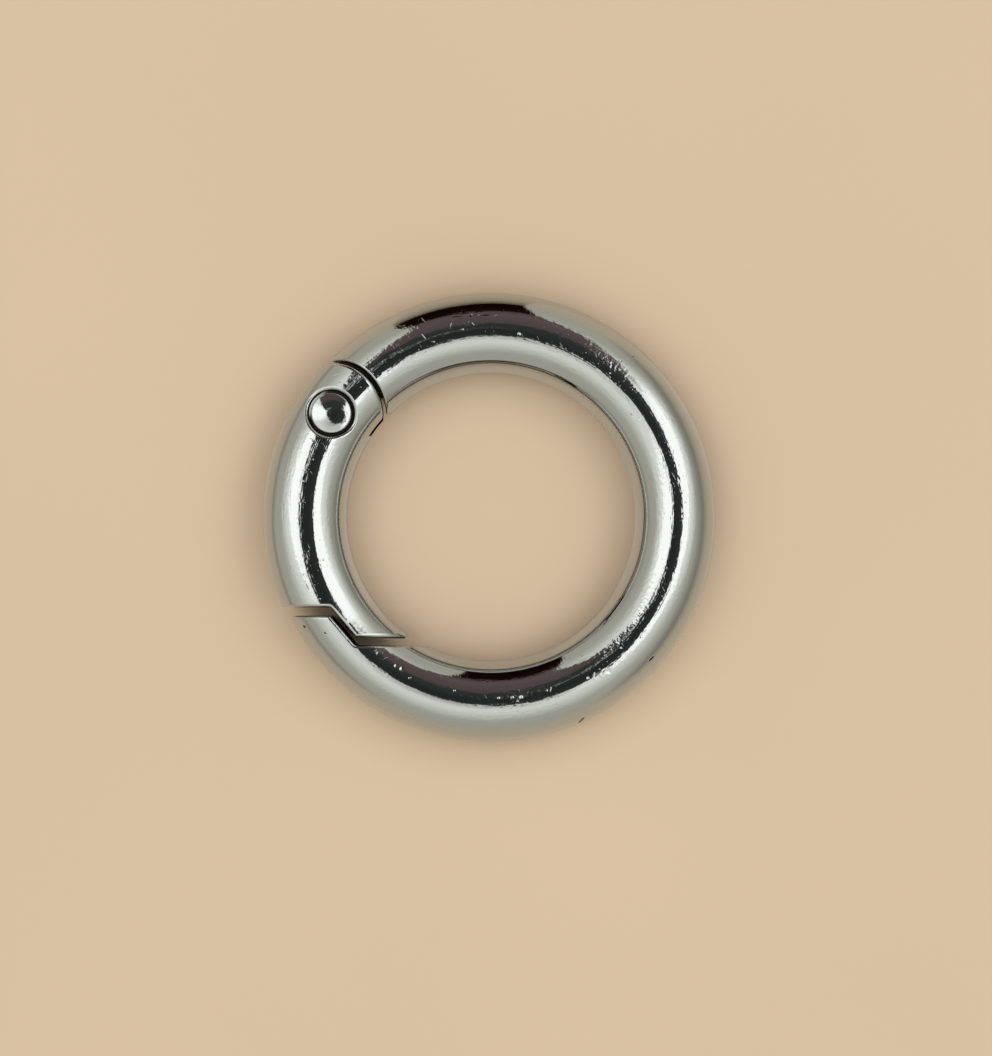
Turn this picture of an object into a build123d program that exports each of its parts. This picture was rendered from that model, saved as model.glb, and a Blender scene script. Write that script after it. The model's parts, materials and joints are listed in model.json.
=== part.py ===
from build123d import *
import os
from math import cos, hypot, pi, radians, sin, sqrt

os.makedirs("parts", exist_ok=True)

# A spring gate ring: a cast round-bar ring with one hinged, spring-loaded segment.
# Millimetres. The origin is the centre of the ring on the middle plane of its bar.
# +Z is the hinge direction, and the gate is on the -X side, its hinge above its nose.

# Ring body
eye_diameter = 25.0
bar_diameter = 7.0

# Gate bar, a little wider and squarer than the body's round bar
gate_widening = 0.3
gate_squareness = 2.4
gate_outset = 0.12
outline_points = 24

# Hinge place
pivot_angle = 147.3
pivot_outset = 0.33

# Rivet
shank_diameter = 2.0
head_diameter = 3.5
head_height = 0.9
head_crown = 0.24
head_edge_round = 0.16
head_below_crest = 0.08
pocket_gap = 0.2
pocket_flare = 0.1
pocket_edge_round = 0.25

# Tongue of the body between the gate's cheeks
tongue_thickness = 2.7
tongue_width = 4.6
tongue_length = 2.3
tongue_corner_round = 0.25
tongue_root = 0.5

# Gate heel and the hollow shoulder of the body that it turns in
heel_overhang = 0.87
heel_barrel = 0.05
shoulder_flare = 0.1
heel_edge_round = 0.3
shoulder_edge_round = 0.18

# Running clearances of the hinge
pin_clearance = 0.05
cheek_clearance = 0.06
rivet_clearance = 0.02
heel_clearance = 0.28
stop_clearance = 0.05
corner_clearance = 0.15
side_clearance = 0.12

# Swing
open_angle = 38.0

# Stepped nose where the gate meets the body, placed from a point on the ring's centre line
nose_angle = 209.4
step_offset = 0.14
step_run = 2.2
step_depth = 2.55
finger_blunt = 0.49
finger_droop = 0.2
nose_clearance = 0.2
nose_corner_round = 0.4
nose_edge_round = 0.25

# Spring in its bore
spring_diameter = 2.3
spring_wire = 0.4
spring_turns = 7
spring_length = 6.2
spring_inset = 0.75
bore_clearance = 0.12

# Sizes that follow
eye_radius = eye_diameter / 2
bar_radius = bar_diameter / 2
ring_radius = eye_radius + bar_radius
gate_radius = ring_radius + gate_outset
gate_width = bar_diameter + gate_widening
reach = ring_radius + 2 * bar_diameter
pivot_radius = ring_radius + pivot_outset
hinge = Rot(0, 0, pivot_angle) * Pos(pivot_radius, 0, 0)
pivot_x = pivot_radius * cos(radians(pivot_angle))
pivot_y = pivot_radius * sin(radians(pivot_angle))
nose_level = ring_radius * sin(radians(nose_angle))
step_outer_x = ring_radius * cos(radians(nose_angle)) + step_offset
step_inner_x = step_outer_x + step_run
finger_level = nose_level - step_depth
tip_level = finger_level - finger_droop
finger_tip_x = -sqrt(eye_radius**2 - (tip_level + finger_blunt) ** 2)
heel_radius = bar_radius + heel_overhang
shank_radius = shank_diameter / 2
head_radius = head_diameter / 2
pocket_radius = head_radius + pocket_gap
head_top = bar_radius - head_below_crest
head_floor = head_top - head_height
slot_half = tongue_thickness / 2 + cheek_clearance
shoulder_radius = heel_radius + heel_clearance
tongue_inner = pivot_radius - tongue_width / 2
tongue_side = (pivot_radius**2 + heel_radius**2 - tongue_inner**2) / (2 * pivot_radius)
tongue_corner_x = pivot_radius - sqrt(tongue_inner**2 - tongue_length**2)
slot_floor = hypot(tongue_corner_x, tongue_length) + corner_clearance
stop_level = tongue_length + stop_clearance
stop_edge = (tongue_length - stop_level * cos(radians(open_angle))) / sin(radians(open_angle))
bore_radius = spring_diameter / 2 + bore_clearance


def swing_drop():
    """How far the gate's outer nose corner dips as it swings in past the body's end."""
    outer = gate_radius + gate_width / 2
    across = sqrt(outer**2 - nose_level**2) + pivot_x
    along = pivot_y - nose_level
    return hypot(across, along) - along


nose_gap = swing_drop() + nose_clearance


def gate_section():
    """Squarish oval section of the gate bar, drawn in the XZ plane."""
    power = 2 / gate_squareness
    points = []
    for i in range(outline_points):
        turn = 2 * pi * i / outline_points
        x = abs(cos(turn)) ** power * (gate_width / 2) * (1 if cos(turn) >= 0 else -1)
        z = abs(sin(turn)) ** power * bar_radius * (1 if sin(turn) >= 0 else -1)
        points.append((gate_radius + x, z))
    return Plane.XZ * make_face(Spline(*points, periodic=True))


def gate_room(drop, tip_x):
    """Upright prism over the gate's side of the nose step, up to the hinge's radius."""
    top = Rot(0, 0, pivot_angle) * Pos(reach, 0, 0)
    far = top.position
    outline = Polyline(
        (-reach, nose_level - drop),
        (step_outer_x, nose_level - drop),
        (step_inner_x, finger_level - drop),
        (tip_x, tip_level - drop),
        (tip_x, finger_level + bar_radius),
        (0, 0),
        (far.X, far.Y),
        close=True,
    )
    room = make_face(outline)
    steps = room.vertices().sort_by_distance((step_outer_x, nose_level - drop))[0]
    foot = room.vertices().sort_by_distance((step_inner_x, finger_level - drop))[0]
    room = fillet([steps, foot], nose_corner_round)
    return extrude(room, bar_diameter, both=True)


def hinge_turning(middle_radius, edge_radius):
    """Solid turned about the hinge, whose side bows from its middle to its two ends."""
    half = bar_radius + 1
    side = ThreePointArc((edge_radius, -half), (middle_radius, 0), (edge_radius, half))
    back = Polyline((edge_radius, half), (0, half), (0, -half), (edge_radius, -half))
    return hinge * revolve(Plane.XZ * make_face([side, back]), Axis.Z)


def tongue():
    """Flat tongue along the ring, from the body's shoulder to its square end past the hinge."""
    section = Pos(pivot_radius, 0) * Rectangle(tongue_width, tongue_thickness)
    strip = Rot(0, 0, pivot_angle - 90) * revolve(Plane.XZ * section, Axis.Z, 180)
    span = tongue_length + shoulder_radius + tongue_root
    middle = tongue_length - span / 2
    plate = strip & (hinge * Pos(0, middle, 0) * Box(bar_diameter, span, bar_diameter))
    ends = plate.edges().filter_by(Axis.Z).sort_by_distance(gate_side())[:2]
    return fillet(ends, tongue_corner_round)


def gate_side():
    """A point far out on the gate's side of the hinge."""
    return (hinge * Pos(0, reach, 0)).position


def upright_face_edges(solid):
    """Edges of the flat upright faces, which are the faces of the nose step."""
    faces = solid.faces().filter_by(GeomType.PLANE)
    faces = faces.filter_by(lambda face: abs(face.normal_at().Z) < 0.01)
    return faces.edges()


def heel_point(radius):
    """Middle of a hinge-turned face of this radius, on the body's side of the hinge."""
    return (hinge * Pos(0, -radius, 0)).position


def round_end(solid, radius, size):
    """Rounds the rim of the face that turns about the hinge at this radius."""
    face = solid.faces().sort_by_distance(heel_point(radius))[0]
    return fillet(face.edges(), size)


def slot_part(inner_x, outer_x, top):
    """Box between the cheeks, from past the heel up to a level, about the hinge."""
    low = -heel_radius - bar_radius
    middle = Pos((inner_x + outer_x) / 2, (top + low) / 2, 0)
    return middle * Box(outer_x - inner_x, top - low, 2 * slot_half)


def fork_slot():
    """Room for the tongue between the cheeks, shut and open, with the stop on its outer side."""
    inner_x = -tongue_side - side_clearance
    shut = slot_part(inner_x, stop_edge, slot_floor)
    stop = slot_part(inner_x, reach, stop_level)
    swung = Rot(0, 0, -open_angle) * slot_part(inner_x, tongue_side, 0)
    return hinge * (shut + stop + swung)


def along_bore(start, length):
    """Place at the middle of a length of the spring's line, its Z axis towards the nose."""
    return hinge * Pos(-spring_inset, start + length / 2, 0) * Rot(-90, 0, 0)


def rivet_pocket():
    """Slightly tapered pocket that sinks a rivet head into the upper cheek."""
    depth = 2 * head_height
    side = Rot(0, 0, 90) * Cone(pocket_radius, pocket_radius + 2 * pocket_flare, depth)
    return hinge * Pos(0, 0, head_floor + depth / 2) * side


def round_pocket_rims(gate):
    """Rounds the edge where each rivet pocket breaks the surface of its cheek."""
    walls = gate.faces().filter_by(GeomType.CONE)
    return fillet(walls.edges().filter_by(GeomType.BSPLINE), pocket_edge_round)


def make_ring_body():
    torus = Torus(ring_radius, bar_radius)
    flare = hinge_turning(shoulder_radius, shoulder_radius + shoulder_flare)
    body = torus - (gate_room(nose_gap, 0) + flare)
    body = round_end(body, shoulder_radius, shoulder_edge_round)
    body = fillet(upright_face_edges(body), nose_edge_round)
    body = body + tongue()
    rivet_hole = hinge * Cylinder(shank_radius + pin_clearance, bar_diameter)
    return body - rivet_hole


def make_gate():
    bar = Rot(0, 0, pivot_angle - 45) * revolve(gate_section(), Axis.Z, 150)
    heel = hinge_turning(heel_radius, heel_radius - heel_barrel)
    gate = bar & (gate_room(0, finger_tip_x) + heel)
    gate = round_end(gate, heel_radius, heel_edge_round)
    gate = fillet(upright_face_edges(gate), nose_edge_round)
    pocket = rivet_pocket()
    gate = round_pocket_rims(gate - pocket - mirror(pocket, Plane.XY))
    gate = gate - fork_slot()
    bore_end = tongue_length + spring_length
    gate = gate - along_bore(0, bore_end) * Cylinder(bore_radius, bore_end)
    return gate - hinge * Cylinder(shank_radius + rivet_clearance, bar_diameter)


def make_hinge_rivet():
    """Rivet with a crowned head at each end, turned about its own axis."""
    edge = head_top - head_crown
    crown_radius = (head_radius**2 + head_crown**2) / (2 * head_crown)
    crown = RadiusArc((0, head_top), (head_radius, edge), crown_radius)
    under = Polyline(
        (head_radius, edge), (head_radius, head_floor), (shank_radius, head_floor), (shank_radius, 0)
    )
    half = make_face([crown, under, Line((shank_radius, 0), (0, 0)), Line((0, 0), (0, head_top))])
    upper = revolve(Plane.XZ * half, Axis.Z)
    rim = upper.edges().filter_by(GeomType.CIRCLE).filter_by(lambda e: abs(e.center().Z - edge) < 0.01)
    upper = fillet(rim, head_edge_round)
    return hinge * (upper + mirror(upper, Plane.XY))


def make_gate_spring():
    """Coil spring in the gate's bore, its last turns ground flat at both ends."""
    middle = spring_diameter / 2 - spring_wire / 2
    pitch = (spring_length - spring_wire / 2) / spring_turns
    height = spring_turns * pitch
    path = Helix(pitch, height, middle)
    section = Plane(path @ 0, z_dir=path % 0) * Circle(spring_wire / 2)
    coil = Pos(0, 0, -height / 2) * sweep(section, path)
    coil = coil & Box(spring_diameter * 2, spring_diameter * 2, spring_length)
    return along_bore(tongue_length, spring_length) * coil


def save(node, solid):
    solid.label = node
    export_step(solid, f"parts/{node}.step")


save("ring_body", make_ring_body())
save("gate", make_gate())
save("hinge_rivet", make_hinge_rivet())
save("gate_spring", make_gate_spring())
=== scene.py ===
import json
from math import cos, pi, radians, sin

import bpy
from bpy.props import FloatProperty, FloatVectorProperty, PointerProperty
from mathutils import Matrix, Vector


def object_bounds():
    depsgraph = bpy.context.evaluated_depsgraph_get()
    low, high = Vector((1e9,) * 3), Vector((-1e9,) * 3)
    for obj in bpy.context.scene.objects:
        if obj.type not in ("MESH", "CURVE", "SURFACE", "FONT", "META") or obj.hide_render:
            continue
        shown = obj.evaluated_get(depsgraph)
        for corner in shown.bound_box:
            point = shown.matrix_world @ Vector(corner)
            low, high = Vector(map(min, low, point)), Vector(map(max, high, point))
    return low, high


bl_info = {
    "name": "Spring Gate Ring",
    "version": (1, 0, 0),
    "blender": (4, 5, 0),
    "location": "3D View > Sidebar > Spring Ring",
    "description": "Plated finishes, studio and camera for a spring gate ring",
    "category": "Material",
}

# Metres. The origin is the centre of the ring on the middle plane of its bar, +Z is up from the
# table that it lies on, and the gate is on the -X side.
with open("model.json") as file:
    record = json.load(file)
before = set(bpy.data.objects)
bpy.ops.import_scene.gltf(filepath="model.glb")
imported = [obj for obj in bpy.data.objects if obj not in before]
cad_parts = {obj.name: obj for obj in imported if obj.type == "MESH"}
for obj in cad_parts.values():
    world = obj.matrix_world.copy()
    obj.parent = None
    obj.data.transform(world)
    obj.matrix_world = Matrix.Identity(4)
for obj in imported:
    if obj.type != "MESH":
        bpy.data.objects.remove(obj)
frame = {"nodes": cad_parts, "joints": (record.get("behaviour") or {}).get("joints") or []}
cad_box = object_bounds()
nodes = frame["nodes"]
floor_height = cad_box[0].z
MM = 0.001

# Millimetres, and degrees from +X.
BAR_LINE_RADIUS = 16.0
GATE_LINE_RADIUS = 16.12
NOSE_ANGLE = 209.4
HINGE_PLACE = [1000 * value for value in frame["joints"][0]["pos_m"][:2]]

# Share of a grey light that the plating gives back.
PLATING_REFLECTANCE = 0.62

# Millimetres, each the start and the end of a soft border: from the bar's centre line to where
# the bare inner faces stop, and above its middle plane to the rubbed crest, to the upper side
# and to the rivet's polished crown. The inner faces and the rivet below its crown are painted
# dark, as painted shade in the seams, the hinge and under the rivet's heads.
INNER_FACES = (3.0, 3.25)
CREST = (2.3, 3.3)
UPPER_SIDE = (0.2, 0.6)
RIVET_CROWN = (3.05, 3.15)

# Millimetres: sizes and depths of the wear that the add-on's settings leave alone.
CHIP_WIDTH = 0.3
CHIP_DEPTH = 0.03
SCRATCH_DEPTH = 0.002
GATE_FLAT_HALF = 0.4
DIMPLE_REACH = (0.1, 0.55)
DIMPLE_DEPTH = 0.005
DENT_HEIGHT = 0.009
TURNING_PITCH = 0.28
TURNING_HEIGHT = 0.0002
DRAWN_LINE_HEIGHT = 0.002

# Waves to the millimetre of the worn and hazy patches, and of the oil on the spring.
PATCH_PITCH = 0.22
OIL_PITCH = 1.4

# What a place adds to the roughness, and how much more a scuffed place is worn.
INNER_HAZE = 0.38
SCRATCH_HAZE = 0.12
SCUFF_HAZE = 0.05
SCUFF_WEAR = 1.6

# Metres.
LAMP_PLACE = (0.15, 0.1, 1.4)
LAMP_WIDTH = 2.4
CAMERA_PLACE = (0.45 * MM, -9.8 * MM)
CAMERA_AIM = (0.45 * MM, -1.06 * MM, 2.5 * MM)

# Settings that many nodes share.
PLUS = {"operation": "ADD"}
MINUS = {"operation": "SUBTRACT"}
TIMES = {"operation": "MULTIPLY"}
TIMES_PLUS = {"operation": "MULTIPLY_ADD"}
LENGTH = {"operation": "LENGTH"}
LARGER = {"operation": "MAXIMUM"}
SMOOTH = {"interpolation_type": "SMOOTHSTEP"}
TWO_COLOURS = {"data_type": "RGBA"}


def linear(hex_colour):
    """sRGB hex colour as linear red, green and blue."""
    made = []
    for start in (1, 3, 5):
        value = int(hex_colour[start:start + 2], 16) / 255
        made.append(value / 12.92 if value <= 0.04045 else ((value + 0.055) / 1.055) ** 2.4)
    return made


def opaque(colour):
    """Colour with the alpha that a colour input takes."""
    return (*colour, 1)


def add_node(tree, kind, options=None, inputs=None, stops=()):
    """Adds a node, sets its options, inputs, links and colour stops, and gives its outputs."""
    made = tree.nodes.new("ShaderNode" + kind)
    for name, value in (options or {}).items():
        setattr(made, name, value)
    for name, value in (inputs or {}).items():
        if isinstance(value, bpy.types.NodeSocket):
            tree.links.new(value, made.inputs[name])
        else:
            made.inputs[name].default_value = value
    for number, (place, colour) in enumerate(stops):
        elements = made.color_ramp.elements
        element = elements.new(place) if number > 1 else elements[number]
        element.position = place
        element.color = opaque(linear(colour))
    return made.outputs


def new_material(name):
    """Empty material and its node tree."""
    material = bpy.data.materials.new(name)
    material.use_nodes = True
    material.node_tree.nodes.clear()
    return material, material.node_tree


def finish_metal(tree, colour, roughness, height):
    """Ends a material in a metal shader whose bumps are a height in millimetres."""
    skin = add_node(tree, "Bump", None, {"Height": height, "Distance": MM, "Strength": 1.0})[0]
    shader = add_node(
        tree, "BsdfPrincipled", None,
        {"Base Color": colour, "Metallic": 1.0, "Roughness": roughness, "Normal": skin},
    )
    add_node(tree, "OutputMaterial", None, {"Surface": shader[0]})


def dress(node_name, material):
    """Gives a CAD node one material in its slots."""
    slots = nodes[node_name].data.materials
    slots.clear()
    slots.append(material)


def millimetres(tree):
    """Place on the piece in millimetres, the same with no height, and the height."""
    own = add_node(tree, "TexCoord")["Object"]
    place = add_node(tree, "VectorMath", {"operation": "SCALE"}, {0: own, "Scale": 1 / MM})[0]
    flat = add_node(tree, "VectorMath", TIMES, {0: place, 1: (1, 1, 0)})[0]
    rise = add_node(tree, "SeparateXYZ", None, {0: place})["Z"]
    return place, flat, rise


def past_border(tree, value, border):
    """Share from 0 to 1 of a value's way over a soft border."""
    start, end = border
    return add_node(tree, "MapRange", SMOOTH, {"Value": value, "From Min": start, "From Max": end})[0]


def ellipse_share(tree, flat, centre, radii, turn, soft):
    """Share of a soft-edged ellipse with this centre, half sizes and turn in degrees."""
    laid = add_node(
        tree, "Mapping", {"vector_type": "TEXTURE"},
        {"Vector": flat, "Location": (*centre, 0), "Rotation": (0, 0, radians(turn)), "Scale": (*radii, 1)},
    )[0]
    out = add_node(tree, "VectorMath", LENGTH, {0: laid})["Value"]
    return add_node(
        tree, "MapRange", SMOOTH,
        {"Value": out, "From Min": 1 - soft, "From Max": 1 + soft, "To Min": 1.0, "To Max": 0.0},
    )[0]


class PlatedFinish(bpy.types.PropertyGroup):
    """Nickel-chrome plating of the cast body and gate."""

    colour: FloatVectorProperty(
        name="Plating", description="Colour that the polished plating gives a white light",
        subtype="COLOR", size=3, min=0, max=1, default=linear("#cdcfcd"),
    )
    # Painted shade: this dark colour stands for the shade inside the seams and the hinge and under the
    # rivet's heads.
    seam_shade_colour: FloatVectorProperty(
        name="Inner Faces", description="Colour of the oily faces inside the seams and the hinge",
        subtype="COLOR", size=3, min=0, max=1, default=linear("#3b3834"),
    )
    # The small pits listed below are drawn in this darker colour.
    pit_dark_colour: FloatVectorProperty(
        name="Grime", description="Colour of the dirt caught in pits",
        subtype="COLOR", size=3, min=0, max=1, default=linear("#2b2823"),
    )
    roughness: FloatProperty(
        name="Roughness", description="Haze of the polished skin", default=0.045, min=0, max=1,
    )
    ripple_width: FloatProperty(
        name="Ripple Width", description="Distance between the low waves that hand polishing leaves",
        default=3.4 * MM, unit="LENGTH", subtype="DISTANCE",
    )
    ripple_height: FloatProperty(
        name="Ripple Height", description="Height of the polishing waves",
        default=0.012 * MM, unit="LENGTH", subtype="DISTANCE",
    )
    grain_width: FloatProperty(
        name="Grain Width", description="Size of the casting grain that still shows under the plate",
        default=0.34 * MM, unit="LENGTH", subtype="DISTANCE",
    )
    grain_height: FloatProperty(
        name="Grain Height", description="Height of the casting grain under the plate",
        default=0.013 * MM, unit="LENGTH", subtype="DISTANCE",
    )
    streak_width: FloatProperty(
        name="Streak Width", description="Width of the rubbed lines that run along the bar",
        default=0.16 * MM, unit="LENGTH", subtype="DISTANCE",
    )
    streak_length: FloatProperty(
        name="Streak Length", description="Length of the rubbed lines that run along the bar",
        default=1.5 * MM, unit="LENGTH", subtype="DISTANCE",
    )
    streak_height: FloatProperty(
        name="Streak Height", description="Height of the rubbed lines",
        default=0.009 * MM, unit="LENGTH", subtype="DISTANCE",
    )
    speck_spacing: FloatProperty(
        name="Speck Spacing", description="Distance between the fine knocks that carrying leaves",
        default=0.8 * MM, unit="LENGTH", subtype="DISTANCE",
    )
    speck_depth: FloatProperty(
        name="Speck Depth", description="Depth of the fine knocks",
        default=0.016 * MM, unit="LENGTH", subtype="DISTANCE",
    )
    scratch_width: FloatProperty(
        name="Scratch Width", description="Width of a carrying scratch",
        default=0.1 * MM, unit="LENGTH", subtype="DISTANCE",
    )
    scratch_length: FloatProperty(
        name="Scratch Length", description="Length of a carrying scratch",
        default=1.8 * MM, unit="LENGTH", subtype="DISTANCE",
    )
    gate_crown: FloatProperty(
        name="Gate Crown", description="How much rounder polishing has left the gate's crest",
        default=0.12 * MM, unit="LENGTH", subtype="DISTANCE",
    )
    gate_crown_width: FloatProperty(
        name="Gate Crown Width", description="Distance from the gate's crest to where the crown ends",
        default=2.4 * MM, unit="LENGTH", subtype="DISTANCE",
    )


class WireFinish(bpy.types.PropertyGroup):
    """Drawn steel wire of the gate spring."""

    colour: FloatVectorProperty(
        name="Wire", description="Colour of the drawn steel",
        subtype="COLOR", size=3, min=0, max=1, default=linear("#b9b9b6"),
    )
    line_width: FloatProperty(
        name="Line Width", description="Width of the lines that the drawing die leaves",
        default=0.06 * MM, unit="LENGTH", subtype="DISTANCE",
    )


class StudioLook(bpy.types.PropertyGroup):
    """Floor, studio light and camera."""

    floor_colour: FloatVectorProperty(
        name="Floor", description="Colour of the plain floor",
        subtype="COLOR", size=3, min=0, max=1, default=linear("#dac1a6"),
    )
    backdrop_colour: FloatVectorProperty(
        name="Backdrop", description="Colour behind the floor's far edge",
        subtype="COLOR", size=3, min=0, max=1, default=linear("#e4dccf"),
    )
    floor_size: FloatProperty(
        name="Floor Size", description="Width of the floor",
        default=3.0, unit="LENGTH", subtype="DISTANCE",
    )
    lamp_power: FloatProperty(
        name="Lamp Power", description="Power of the wide soft lamp overhead",
        default=11.8, min=0, unit="POWER",
    )
    camera_height: FloatProperty(
        name="Camera Height", description="Height of the camera above the ring's middle plane",
        default=0.295, unit="LENGTH", subtype="DISTANCE",
    )
    camera_lens: FloatProperty(
        name="Lens", description="Focal length of the camera on a 36 mm long side",
        default=115.74, unit="CAMERA", subtype="DISTANCE_CAMERA",
    )


# Marks on the upper side, in groups that lie one way. Each group has the way it lies in degrees
# and how many times longer than wide its marks are, and each mark its x, y, half length and
# depth, or its share for a scuff, in millimetres. They follow the wear that carrying has left on
# the ring's crest.
BODY_KNOCKS = (
    (0, 1, (
        (-1.75, 17.27, 0.18, 0.026), (0.45, 17.25, 0.11, 0.020), (2.43, 15.61, 0.13, 0.024),
        (-8.13, -12.94, 0.14, 0.024), (-7.62, -13.22, 0.19, 0.028), (-6.93, -13.96, 0.13, 0.018),
        (0.67, -15.68, 0.12, 0.022), (-3.10, -15.06, 0.11, 0.020), (10.13, -13.35, 0.26, 0.030),
        (1.85, -15.62, 0.12, 0.022), (2.60, -15.60, 0.16, 0.028), (8.35, -13.98, 0.12, 0.020),
    )),
    (3, 6, (
        (-1.15, 17.28, 0.26, 0.022), (-0.40, 17.28, 0.42, 0.020), (-2.90, 17.18, 0.50, 0.014),
        (0.96, -14.87, 0.95, 0.011),
    )),
    (-50, 7, (
        (-1.55, 16.50, 0.24, 0.009), (-5.84, 16.87, 0.28, 0.014), (-5.79, 15.40, 0.30, 0.012),
        (12.11, 8.69, 0.26, 0.012), (11.80, 10.01, 0.26, 0.012),
    )),
    (78, 4, (
        (-1.95, 16.70, 0.34, 0.010), (-1.20, 16.62, 0.32, 0.010), (-3.51, 16.39, 0.44, 0.012),
        (5.08, -14.95, 0.40, 0.008), (8.86, -13.79, 0.30, 0.036),
    )),
)
GATE_KNOCKS = (
    (15, 4, ((-16.02, -5.72, 0.24, 0.016), (-13.35, 12.05, 0.26, 0.010))),
    (-62, 7, ((-15.72, -6.12, 0.36, 0.014), (-15.45, 8.10, 0.22, 0.012))),
)
# Scuffed places, where many small knocks and rubbed lines run together.
BODY_SCUFFS = (
    (-42, 2, (
        (9.10, 13.95, 1.50, 0.9), (10.30, 12.90, 0.90, 0.8), (12.15, 10.87, 0.70, 0.6),
    )),
    (42, 2.4, (
        (10.60, -11.10, 1.60, 0.4), (9.80, -13.30, 0.80, 0.5),
    )),
    (0, 2, (
        (-9.75, -11.75, 0.60, 0.9), (2.40, -15.58, 0.70, 0.6), (-7.60, 16.30, 0.50, 0.3),
        (-3.90, -14.85, 0.50, 0.5), (-0.90, 17.20, 0.90, 0.5),
    )),
)
GATE_SCUFFS = (
    (80, 4, ((-15.60, -3.20, 0.90, 0.6), (-15.75, 3.30, 0.90, 0.5))),
)
# Pits through the plate, drawn in a darker colour.
BODY_PITS = (
    (44, 4, ((7.80, -17.65, 0.46, 0.06), (13.84, -12.30, 0.40, 0.05), (12.28, 13.74, 0.16, 0.05))),
    (-40, 2, ((-16.06, -9.55, 0.20, 0.04), (-14.24, -10.11, 0.15, 0.04))),
)
GATE_PITS = (
    (20, 2, ((-14.70, -7.20, 0.10, 0.03),)),
)


def marks_depth(tree, flat, groups):
    """Sum of the marks' depths in millimetres, or of the scuffs' shares."""
    total = 0.0
    for turn, slimness, marks in groups:
        angle = radians(turn)
        laid = add_node(
            tree, "Mapping", {"vector_type": "TEXTURE"},
            {"Vector": flat, "Rotation": (0, 0, angle), "Scale": (1, 1 / slimness, 1)},
        )[0]
        for x, y, half_length, depth in marks:
            along = x * cos(angle) + y * sin(angle)
            across = (y * cos(angle) - x * sin(angle)) * slimness
            away = add_node(
                tree, "VectorMath", {"operation": "DISTANCE"}, {0: laid, 1: (along, across, 0)}
            )["Value"]
            deep = add_node(
                tree, "MapRange", SMOOTH,
                {"Value": away, "From Min": half_length * 0.1, "From Max": half_length * 1.3,
                 "To Min": depth, "To Max": 0.0},
            )[0]
            total = add_node(tree, "Math", PLUS, {0: deep, 1: total})[0]
    return total


def scattered_specks(tree, place, spacing, reach):
    """Share of small round knocks, one in about half of the cells of this spacing."""
    cells = add_node(tree, "TexVoronoi", None, {"Vector": place, "Scale": 1 / spacing})
    chance = add_node(tree, "SeparateColor", None, {0: cells["Color"]})[0]
    size = add_node(
        tree, "MapRange", None, {"Value": chance, "From Min": 0.45, "To Min": 0.02, "To Max": reach}
    )[0]
    away = add_node(tree, "Math", {"operation": "DIVIDE"}, {0: cells["Distance"], 1: size})[0]
    return add_node(
        tree, "MapRange", SMOOTH,
        {"Value": away, "From Min": 0.4, "From Max": 1.0, "To Min": 1.0, "To Max": 0.0},
    )[0]


def carrying_scratches(tree, place, width, length, turn):
    """Share of fine scratches that run one way."""
    laid = add_node(
        tree, "Mapping", {"vector_type": "TEXTURE"},
        {"Vector": place, "Rotation": (0, 0, radians(turn)), "Scale": (length, width, length)},
    )[0]
    lines = add_node(tree, "TexNoise", None, {"Vector": laid, "Scale": 1.0, "Detail": 1.0})["Fac"]
    return add_node(tree, "MapRange", SMOOTH, {"Value": lines, "From Min": 0.72, "From Max": 0.80})[0]


def rubbed_streaks(tree, flat, out, width, length):
    """Pattern from 0 to 1 of lines along the bar, whose ends meet in the nose's gap."""
    turned = add_node(
        tree, "Mapping", {"vector_type": "POINT"},
        {"Vector": flat, "Rotation": (0, 0, radians(180 - NOSE_ANGLE))},
    )[0]
    parts = add_node(tree, "SeparateXYZ", None, {0: turned})
    angle = add_node(tree, "Math", {"operation": "ARCTAN2"}, {0: parts["Y"], 1: parts["X"]})[0]
    along = add_node(tree, "Math", TIMES, {0: angle, 1: BAR_LINE_RADIUS / length})[0]
    across = add_node(tree, "Math", TIMES, {0: out, 1: 1 / width})[0]
    laid = add_node(tree, "CombineXYZ", None, {"X": along, "Y": across})[0]
    return add_node(tree, "TexNoise", None, {"Vector": laid, "Scale": 1.0, "Detail": 1.0})["Fac"]


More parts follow.
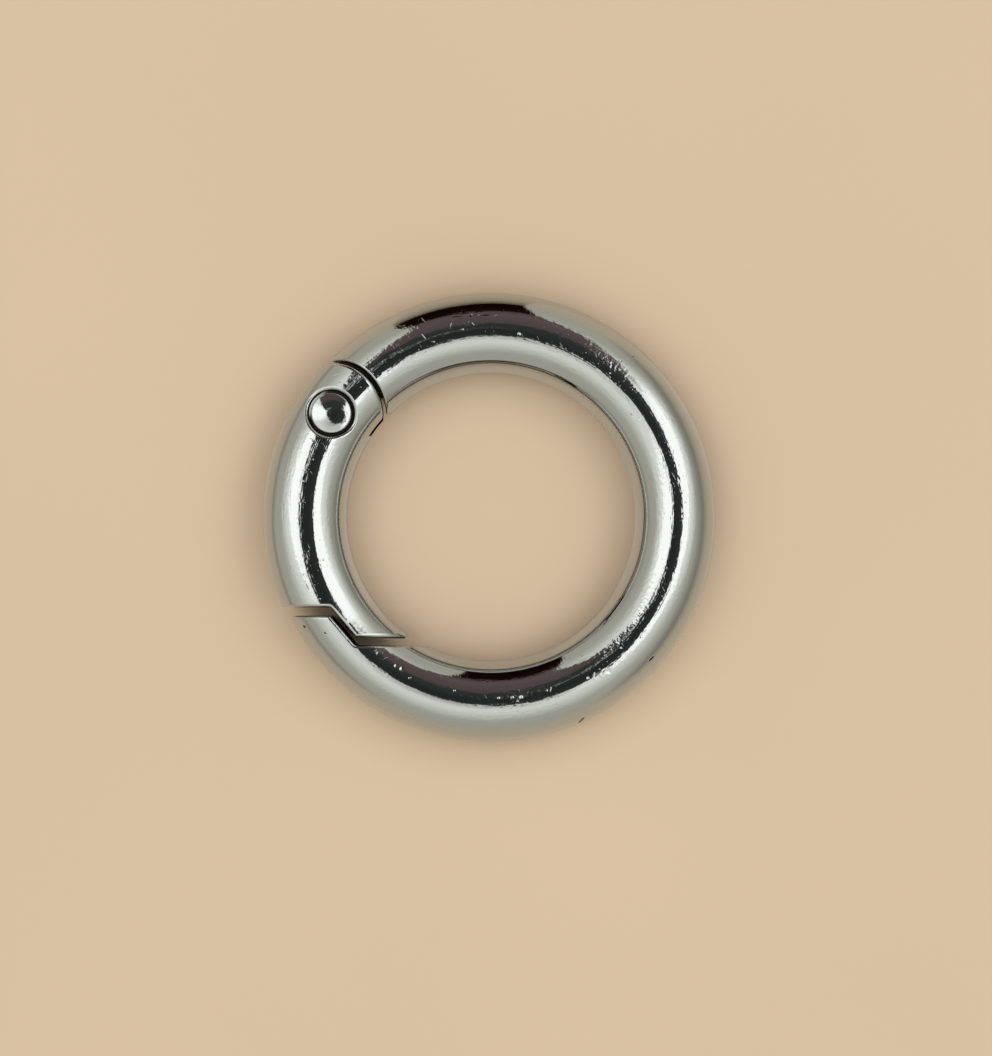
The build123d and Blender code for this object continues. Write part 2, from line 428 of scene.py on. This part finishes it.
def plated_material(look, name, knocks, scuffs, pits, crown):
    """Nickel-chrome plate on a zinc casting, polished bright and worn by carrying."""
    # Nickel-chrome plate over die-cast zinc, barrel polished: a cool bright mirror whose
    # reflections waver a little, with ragged edges where the crest has been rubbed and knocked.
    # The grain, streaks and specks are drawn about twice as coarse as real ones, so that they show.
    material, tree = new_material(name)
    place, flat, rise = millimetres(tree)
    out = add_node(tree, "VectorMath", LENGTH, {0: flat})["Value"]
    across = add_node(tree, "Math", MINUS, {0: out, 1: BAR_LINE_RADIUS})[0]
    pair = add_node(tree, "CombineXYZ", None, {"X": across, "Y": rise})[0]
    depth = add_node(tree, "VectorMath", LENGTH, {0: pair})["Value"]
    inside = add_node(
        tree, "MapRange", SMOOTH,
        {"Value": depth, "From Min": INNER_FACES[0], "From Max": INNER_FACES[1],
         "To Min": 1.0, "To Max": 0.0},
    )[0]
    lift = add_node(tree, "Math", {"operation": "ABSOLUTE"}, {0: rise})[0]
    crest = past_border(tree, lift, CREST)
    upper = past_border(tree, rise, UPPER_SIDE)

    # How worn a place is: patches of the crest, and all of the scuffed places.
    scuffed = marks_depth(tree, flat, scuffs)
    scuffed = add_node(tree, "Math", TIMES, {0: scuffed, 1: upper})[0]
    patch = add_node(tree, "TexNoise", None, {"Vector": place, "Scale": PATCH_PITCH, "Detail": 1.0})
    patch = add_node(
        tree, "MapRange", SMOOTH,
        {"Value": patch["Fac"], "From Min": 0.4, "From Max": 0.62, "To Min": 0.35},
    )[0]
    worn = add_node(tree, "Math", TIMES, {0: patch, 1: crest})[0]
    worn = add_node(tree, "Math", TIMES_PLUS, {0: scuffed, 1: SCUFF_WEAR, 2: worn})[0]

    ripple = add_node(
        tree, "TexNoise", None, {"Vector": place, "Scale": MM / look.ripple_width, "Detail": 0.0}
    )
    height = add_node(tree, "Math", TIMES, {0: ripple["Fac"], 1: look.ripple_height / MM})[0]
    grain = add_node(
        tree, "TexNoise", None, {"Vector": place, "Scale": MM / look.grain_width, "Detail": 1.0}
    )
    rubbed = rubbed_streaks(tree, flat, out, look.streak_width / MM, look.streak_length / MM)
    fine = add_node(tree, "Math", TIMES, {0: rubbed, 1: look.streak_height / MM})[0]
    fine = add_node(tree, "Math", TIMES_PLUS, {0: grain["Fac"], 1: look.grain_height / MM, 2: fine})[0]
    height = add_node(tree, "Math", TIMES_PLUS, {0: fine, 1: worn, 2: height})[0]

    specks = scattered_specks(tree, place, look.speck_spacing / MM, 0.16)
    small = scattered_specks(tree, place, look.speck_spacing / MM * 0.45, 0.2)
    specks = add_node(tree, "Math", TIMES_PLUS, {0: small, 1: 0.4, 2: specks})[0]
    specks = add_node(tree, "Math", TIMES, {0: specks, 1: worn})[0]
    cuts = add_node(tree, "Math", TIMES, {0: specks, 1: look.speck_depth / MM})[0]

    width, length = look.scratch_width / MM, look.scratch_length / MM
    scratches = add_node(
        tree, "Math", LARGER,
        {0: carrying_scratches(tree, place, width, length, 24),
         1: carrying_scratches(tree, place, width, length * 0.6, -63)},
    )[0]
    scratches = add_node(tree, "Math", TIMES, {0: scratches, 1: crest})[0]
    cuts = add_node(tree, "Math", TIMES_PLUS, {0: scratches, 1: SCRATCH_DEPTH, 2: cuts})[0]

    chips = add_node(tree, "TexNoise", None, {"Vector": place, "Scale": 1 / CHIP_WIDTH, "Detail": 3.0})
    chips = add_node(tree, "Math", TIMES, {0: chips["Fac"], 1: scuffed})[0]
    cuts = add_node(tree, "Math", TIMES_PLUS, {0: chips, 1: CHIP_DEPTH, 2: cuts})[0]
    pitted = add_node(tree, "Math", TIMES, {0: marks_depth(tree, flat, pits), 1: upper})[0]
    knocked = marks_depth(tree, flat, knocks)
    knocked = add_node(tree, "Math", TIMES_PLUS, {0: knocked, 1: upper, 2: pitted})[0]
    cuts = add_node(tree, "Math", PLUS, {0: cuts, 1: knocked})[0]
    height = add_node(tree, "Math", MINUS, {0: height, 1: cuts})[0]
    if crown:
        offset = add_node(tree, "Math", MINUS, {0: out, 1: GATE_LINE_RADIUS})[0]
        offset = add_node(tree, "Math", {"operation": "ABSOLUTE"}, {0: offset})[0]
        drop = add_node(
            tree, "MapRange", SMOOTH,
            {"Value": offset, "From Min": GATE_FLAT_HALF, "From Max": look.gate_crown_width / MM,
             "To Max": look.gate_crown / MM},
        )[0]
        height = add_node(tree, "Math", MINUS, {0: height, 1: drop})[0]

    haze = add_node(tree, "TexNoise", None, {"Vector": place, "Scale": PATCH_PITCH, "Detail": 3.0})
    rough = add_node(
        tree, "MapRange", None,
        {"Value": haze["Fac"], "From Min": 0.3, "From Max": 0.7,
         "To Min": look.roughness * 0.8, "To Max": look.roughness * 1.35},
    )[0]
    rough = add_node(tree, "Math", TIMES_PLUS, {0: inside, 1: INNER_HAZE, 2: rough})[0]
    rough = add_node(tree, "Math", TIMES_PLUS, {0: scratches, 1: SCRATCH_HAZE, 2: rough})[0]
    rough = add_node(tree, "Math", TIMES_PLUS, {0: scuffed, 1: SCUFF_HAZE, 2: rough})[0]

    # The pits take a darker colour than the plating.
    pit_darkness = add_node(tree, "MapRange", SMOOTH, {"Value": pitted, "From Min": 0.008, "From Max": 0.03})[0]
    # The inner faces take the seam shade colour, painted shade in the seams and the hinge.
    colour = add_node(
        tree, "Mix", TWO_COLOURS, {0: inside, 6: opaque(look.colour), 7: opaque(look.seam_shade_colour)}
    )[2]
    colour = add_node(tree, "Mix", TWO_COLOURS, {0: pit_darkness, 6: colour, 7: opaque(look.pit_dark_colour)})[2]
    finish_metal(tree, colour, rough, height)
    return material


def rivet_material(look):
    """Plated steel rivet, its heads peened round and polished by rubbing."""
    # Nickel-plated steel, closed with a rotary peen: a bright dome with a faint dimpled centre
    # and turned rings, rougher under the rim, where its colour is painted dark as shade.
    material, tree = new_material("nickel_plated_steel_peened")
    place, flat, rise = millimetres(tree)
    offset = add_node(tree, "VectorMath", MINUS, {0: flat, 1: (*HINGE_PLACE, 0)})[0]
    out = add_node(tree, "VectorMath", LENGTH, {0: offset})["Value"]
    lift = add_node(tree, "Math", {"operation": "ABSOLUTE"}, {0: rise})[0]
    crown = past_border(tree, lift, RIVET_CROWN)
    dimple = add_node(
        tree, "MapRange", SMOOTH,
        {"Value": out, "From Min": DIMPLE_REACH[0], "From Max": DIMPLE_REACH[1],
         "To Min": DIMPLE_DEPTH, "To Max": 0.0},
    )[0]
    turns = add_node(tree, "Math", TIMES, {0: out, 1: 2 * pi / TURNING_PITCH})[0]
    rings = add_node(tree, "Math", {"operation": "SINE"}, {0: turns})[0]
    dents = add_node(tree, "TexNoise", None, {"Vector": place, "Scale": 2.0, "Detail": 2.0})["Fac"]
    height = add_node(tree, "Math", TIMES, {0: dents, 1: DENT_HEIGHT})[0]
    height = add_node(tree, "Math", MINUS, {0: height, 1: dimple})[0]
    height = add_node(tree, "Math", TIMES_PLUS, {0: rings, 1: TURNING_HEIGHT, 2: height})[0]
    haze = add_node(tree, "TexNoise", None, {"Vector": place, "Scale": 1.6, "Detail": 2.0})["Fac"]
    rough = add_node(
        tree, "MapRange", None, {"Value": crown, "To Min": 0.3, "To Max": look.roughness}
    )[0]
    rough = add_node(tree, "Math", TIMES_PLUS, {0: haze, 1: 0.02, 2: rough})[0]
    # Below the crown the rivet takes the seam shade colour: painted shade under the rim.
    colour = add_node(
        tree, "Mix", TWO_COLOURS, {0: crown, 6: opaque(look.seam_shade_colour), 7: opaque(look.colour)}
    )[2]
    finish_metal(tree, colour, rough, height)
    return material


def spring_material(look):
    """Drawn spring wire with the fine lines of its die."""
    # Bright drawn spring steel: grey satin with lines along the wire, a little oil in places.
    material, tree = new_material("drawn_spring_steel")
    place = millimetres(tree)[0]
    lines = add_node(
        tree, "TexNoise", None, {"Vector": place, "Scale": MM / look.line_width, "Detail": 1.0}
    )
    oil = add_node(tree, "TexNoise", None, {"Vector": place, "Scale": OIL_PITCH, "Detail": 2.0})["Fac"]
    height = add_node(tree, "Math", TIMES, {0: lines["Fac"], 1: DRAWN_LINE_HEIGHT})[0]
    rough = add_node(
        tree, "MapRange", None,
        {"Value": oil, "From Min": 0.3, "From Max": 0.7, "To Min": 0.22, "To Max": 0.38},
    )[0]
    oily = [0.8 * value for value in look.colour]
    tone = add_node(tree, "Mix", TWO_COLOURS, {0: oil, 6: opaque(oily), 7: opaque(look.colour)})[2]
    finish_metal(tree, tone, rough, height)
    return material


class SPRINGRING_OT_body(bpy.types.Operator):
    """Plates the ring body."""

    bl_idname = "springring.body"
    bl_label = "Plate Ring Body"

    def execute(self, context):
        look = context.scene.spring_ring_plating
        made = plated_material(look, "nickel_chrome_plate_body", BODY_KNOCKS, BODY_SCUFFS, BODY_PITS, False)
        dress("ring_body", made)
        return {"FINISHED"}


class SPRINGRING_OT_gate(bpy.types.Operator):
    """Plates the gate."""

    bl_idname = "springring.gate"
    bl_label = "Plate Gate"

    def execute(self, context):
        look = context.scene.spring_ring_plating
        made = plated_material(look, "nickel_chrome_plate_gate", GATE_KNOCKS, GATE_SCUFFS, GATE_PITS, True)
        dress("gate", made)
        return {"FINISHED"}


class SPRINGRING_OT_rivet(bpy.types.Operator):
    """Plates the hinge rivet."""

    bl_idname = "springring.rivet"
    bl_label = "Plate Hinge Rivet"

    def execute(self, context):
        dress("hinge_rivet", rivet_material(context.scene.spring_ring_plating))
        return {"FINISHED"}


class SPRINGRING_OT_spring(bpy.types.Operator):
    """Finishes the gate spring as drawn steel wire."""

    bl_idname = "springring.spring"
    bl_label = "Finish Gate Spring"

    def execute(self, context):
        dress("gate_spring", spring_material(context.scene.spring_ring_wire))
        return {"FINISHED"}


# The room is drawn on a flat chart of directions: a direction lies as many degrees from the
# chart's middle as it leans from straight up, right of the middle towards +X and far towards +Y.
ROOM_STOPS = (
    (0, "#969691"), (14, "#9f9f99"), (24, "#c6c9c4"), (34, "#c4c7c1"), (42, "#b9bab2"), (49, "#adafa6"),
    (56, "#a0a198"), (63, "#98978d"), (74, "#96948a"), (84, "#979388"), (90, "#98917f"), (120, "#a09480"),
)
GAP_STOPS = (
    (0, "#1f2423"), (10, "#272b29"), (22, "#2d312e"), (26, "#493f3f"), (50, "#554849"), (59, "#4d4142"),
    (64, "#140806"), (84, "#0c0402"), (92, "#100906"), (98, "#3a322b"),
)
CHART_SPAN = 120
# The dark gap: soft left, right and near borders, how each side border moves over a range of
# the far axis, and the centre, half sizes, turn and softness of its part overhead.
LEFT_BORDER = (-9, -7)
LEFT_SHIFTS = ((0, 24, 11.5), (44, 82, 19))
RIGHT_BORDER = (15.5, 17.5)
RIGHT_SHIFTS = ((12, 36, -8.5), (40, 62, 11.5))
NEAR_BORDER = (4, 12)
OVERHEAD_ELLIPSE = ((6, -0.6), (13.8, 13.6), 0, 0.12)
# How far to one side the low dusk starts and is full.
DUSK_BORDER = (40, 66)
# Bright and dark patches of the room: centre, half sizes, turn, softness and colour.
ROOM_PATCHES = (
    ((-27, 5), (23, 17), 170, 0.55, "#d0d3cf"),
    ((33, 8), (30, 20), 62, 0.5, "#d0d3cf"),
    ((-24, 5), (15, 10.5), 165, 0.3, "#f8faf8"),
    ((28, 5), (27, 12.5), 64, 0.25, "#f8faf8"),
    ((20, 36), (7, 13), 10, 0.35, "#5f6059"),
)


def shifted(tree, across, far, shifts):
    """Distance across the chart, moved by smooth shifts along its far axis."""
    for start, end, shift in shifts:
        moved = add_node(
            tree, "MapRange", SMOOTH,
            {"Value": far, "From Min": start, "From Max": end, "To Max": shift},
        )[0]
        across = add_node(tree, "Math", PLUS, {0: across, 1: moved})[0]
    return across


def dark_gap(tree, flat, right, far):
    """Share of the dark gap between the panels, from overhead to the far side of the room."""
    past_left = past_border(tree, shifted(tree, right, far, LEFT_SHIFTS), LEFT_BORDER)
    short_of_right = add_node(
        tree, "MapRange", SMOOTH,
        {"Value": shifted(tree, right, far, RIGHT_SHIFTS),
         "From Min": RIGHT_BORDER[0], "From Max": RIGHT_BORDER[1], "To Min": 1.0, "To Max": 0.0},
    )[0]
    within = add_node(tree, "Math", TIMES, {0: past_left, 1: short_of_right})[0]
    within = add_node(tree, "Math", TIMES, {0: within, 1: past_border(tree, far, NEAR_BORDER)})[0]
    overhead = ellipse_share(tree, flat, *OVERHEAD_ELLIPSE)
    return add_node(tree, "Math", LARGER, {0: within, 1: overhead})[0]


def side_dusk(tree, light, zenith, right, side, border, colour):
    """Darkens the room towards the level of the table on one side."""
    low = past_border(tree, zenith, border)
    aside = past_border(tree, right, [side * value for value in DUSK_BORDER])
    share = add_node(tree, "Math", TIMES, {0: low, 1: aside})[0]
    return add_node(tree, "Mix", TWO_COLOURS, {0: share, 6: light, 7: opaque(linear(colour))})[2]


def light_the_room(look):
    """Soft grey room with two overhead panels and a dark gap, seen only by the metal."""
    world = bpy.data.worlds.new("soft_studio")
    bpy.context.scene.world = world
    world.use_nodes = True
    tree = world.node_tree
    tree.nodes.clear()
    way = add_node(tree, "TexCoord")["Generated"]
    up = add_node(tree, "SeparateXYZ", None, {0: way})["Z"]
    arc = add_node(tree, "Math", {"operation": "ARCCOSINE"}, {0: up})[0]
    zenith = add_node(tree, "Math", TIMES, {0: arc, 1: 180 / pi})[0]
    level = add_node(tree, "VectorMath", TIMES, {0: way, 1: (1, 1, 0)})[0]
    level = add_node(tree, "VectorMath", {"operation": "NORMALIZE"}, {0: level})[0]
    flat = add_node(tree, "VectorMath", {"operation": "SCALE"}, {0: level, "Scale": zenith})[0]
    parts = add_node(tree, "SeparateXYZ", None, {0: flat})
    right, far = parts["X"], parts["Y"]

    share = add_node(tree, "Math", TIMES, {0: zenith, 1: 1 / CHART_SPAN})[0]
    stops = [(place / CHART_SPAN, colour) for place, colour in ROOM_STOPS]
    light = add_node(tree, "ValToRGB", None, {0: share}, stops)[0]
    for centre, radii, turn, soft, colour in ROOM_PATCHES:
        patch = ellipse_share(tree, flat, centre, radii, turn, soft)
        light = add_node(tree, "Mix", TWO_COLOURS, {0: patch, 6: light, 7: opaque(linear(colour))})[2]
    light = side_dusk(tree, light, zenith, right, 1, (58, 86), "#77746a")
    light = side_dusk(tree, light, zenith, right, -1, (74, 92), "#7c796d")
    stops = [(place / CHART_SPAN, colour) for place, colour in GAP_STOPS]
    gap = add_node(tree, "ValToRGB", None, {0: share}, stops)[0]
    light = add_node(tree, "Mix", TWO_COLOURS, {0: dark_gap(tree, flat, right, far), 6: light, 7: gap})[2]

    seen = add_node(tree, "LightPath")
    studio = add_node(tree, "Background", None, {"Color": light, "Strength": 1 / PLATING_REFLECTANCE})[0]
    wall = add_node(tree, "Background", None, {"Color": opaque(look.backdrop_colour), "Strength": 1.0})[0]
    ending = add_node(tree, "MixShader", None, {0: seen["Is Camera Ray"], 1: studio, 2: wall})[0]
    add_node(tree, "OutputWorld", None, {"Surface": ending})


def lay_floor(look):
    """Plain pale floor that the ring lies on."""
    bpy.ops.mesh.primitive_plane_add(size=look.floor_size, location=(0, 0, floor_height))
    floor = bpy.context.object
    floor.name = "floor"
    bpy.ops.object.transform_apply(location=True, rotation=True, scale=True)
    # Sealed board: matt from above, and glossier at the low angles that the ring's flanks see. In the
    # metal's reflections its colour is also painted 30% towards grey, a painted reflection tone.
    material, tree = new_material("sealed_floor")
    place = millimetres(tree)[0]
    tone = add_node(tree, "TexNoise", None, {"Vector": place, "Scale": 0.02, "Detail": 2.0})["Fac"]
    low = [0.97 * value for value in look.floor_colour]
    high = [min(1, 1.03 * value) for value in look.floor_colour]
    colour = add_node(tree, "Mix", TWO_COLOURS, {0: tone, 6: opaque(low), 7: opaque(high)})[2]
    seen = add_node(tree, "LightPath")["Is Glossy Ray"]
    reflected_grey_share = add_node(tree, "MapRange", None, {"Value": seen, "To Max": 0.3})[0]
    colour = add_node(tree, "Mix", TWO_COLOURS, {0: reflected_grey_share, 6: colour, 7: opaque(linear("#a19e93"))})[2]
    gloss = add_node(tree, "MapRange", None, {"Value": seen, "To Min": 0.1, "To Max": 0.9})[0]
    rough = add_node(tree, "MapRange", None, {"Value": seen, "To Min": 0.8, "To Max": 0.1})[0]
    shader = add_node(
        tree, "BsdfPrincipled", None,
        {"Base Color": colour, "Roughness": rough, "Specular IOR Level": gloss},
    )
    add_node(tree, "OutputMaterial", None, {"Surface": shader[0]})
    floor.data.materials.append(material)


def hang_lamp(look):
    """Wide soft lamp that brings the floor to its own colour. The metal shows the room instead."""
    bpy.ops.object.light_add(type="AREA", location=LAMP_PLACE)
    lamp = bpy.context.object
    lamp.data.shape = "DISK"
    lamp.data.size = LAMP_WIDTH
    lamp.data.energy = look.lamp_power
    lamp.visible_glossy = False
    lamp.visible_camera = False


def place_camera(look):
    """Camera above the ring, a little towards the picture's lower edge."""
    data = bpy.data.cameras.new("camera")
    data.lens = look.camera_lens
    data.sensor_width = 36
    data.clip_start = 0.01
    data.clip_end = 100
    camera = bpy.data.objects.new("camera", data)
    bpy.context.scene.collection.objects.link(camera)
    camera.location = (*CAMERA_PLACE, look.camera_height)
    aim = Vector(CAMERA_AIM) - camera.location
    camera.rotation_mode = "QUATERNION"
    camera.rotation_quaternion = aim.to_track_quat("-Z", "Y")
    bpy.context.scene.camera = camera


class SPRINGRING_OT_stage(bpy.types.Operator):
    """Lays the floor, lights the room and places the camera."""

    bl_idname = "springring.stage"
    bl_label = "Set Up Stage"

    def execute(self, context):
        look = context.scene.spring_ring_studio
        context.scene.view_settings.view_transform = "Standard"
        lay_floor(look)
        light_the_room(look)
        hang_lamp(look)
        place_camera(look)
        return {"FINISHED"}


class SPRINGRING_PT_panel(bpy.types.Panel):
    """Sidebar panel with the ring's finishes and its stage."""

    bl_label = "Spring Gate Ring"
    bl_space_type = "VIEW_3D"
    bl_region_type = "UI"
    bl_category = "Spring Ring"

    def draw(self, context):
        layout = self.layout
        scene = context.scene
        for look in (scene.spring_ring_plating, scene.spring_ring_wire, scene.spring_ring_studio):
            box = layout.box()
            for name in look.__annotations__:
                box.prop(look, name)
        for operator in OPERATORS:
            layout.operator(operator.bl_idname)


OPERATORS = (
    SPRINGRING_OT_body,
    SPRINGRING_OT_gate,
    SPRINGRING_OT_rivet,
    SPRINGRING_OT_spring,
    SPRINGRING_OT_stage,
)
CLASSES = (PlatedFinish, WireFinish, StudioLook, *OPERATORS, SPRINGRING_PT_panel)


def register():
    for made in CLASSES:
        bpy.utils.register_class(made)
    bpy.types.Scene.spring_ring_plating = PointerProperty(type=PlatedFinish)
    bpy.types.Scene.spring_ring_wire = PointerProperty(type=WireFinish)
    bpy.types.Scene.spring_ring_studio = PointerProperty(type=StudioLook)


def unregister():
    del bpy.types.Scene.spring_ring_studio
    del bpy.types.Scene.spring_ring_wire
    del bpy.types.Scene.spring_ring_plating
    for made in reversed(CLASSES):
        bpy.utils.unregister_class(made)


def main():
    register()
    bpy.ops.springring.body()
    bpy.ops.springring.gate()
    bpy.ops.springring.rivet()
    bpy.ops.springring.spring()
    bpy.ops.springring.stage()


if __name__ == "__main__":
    main()
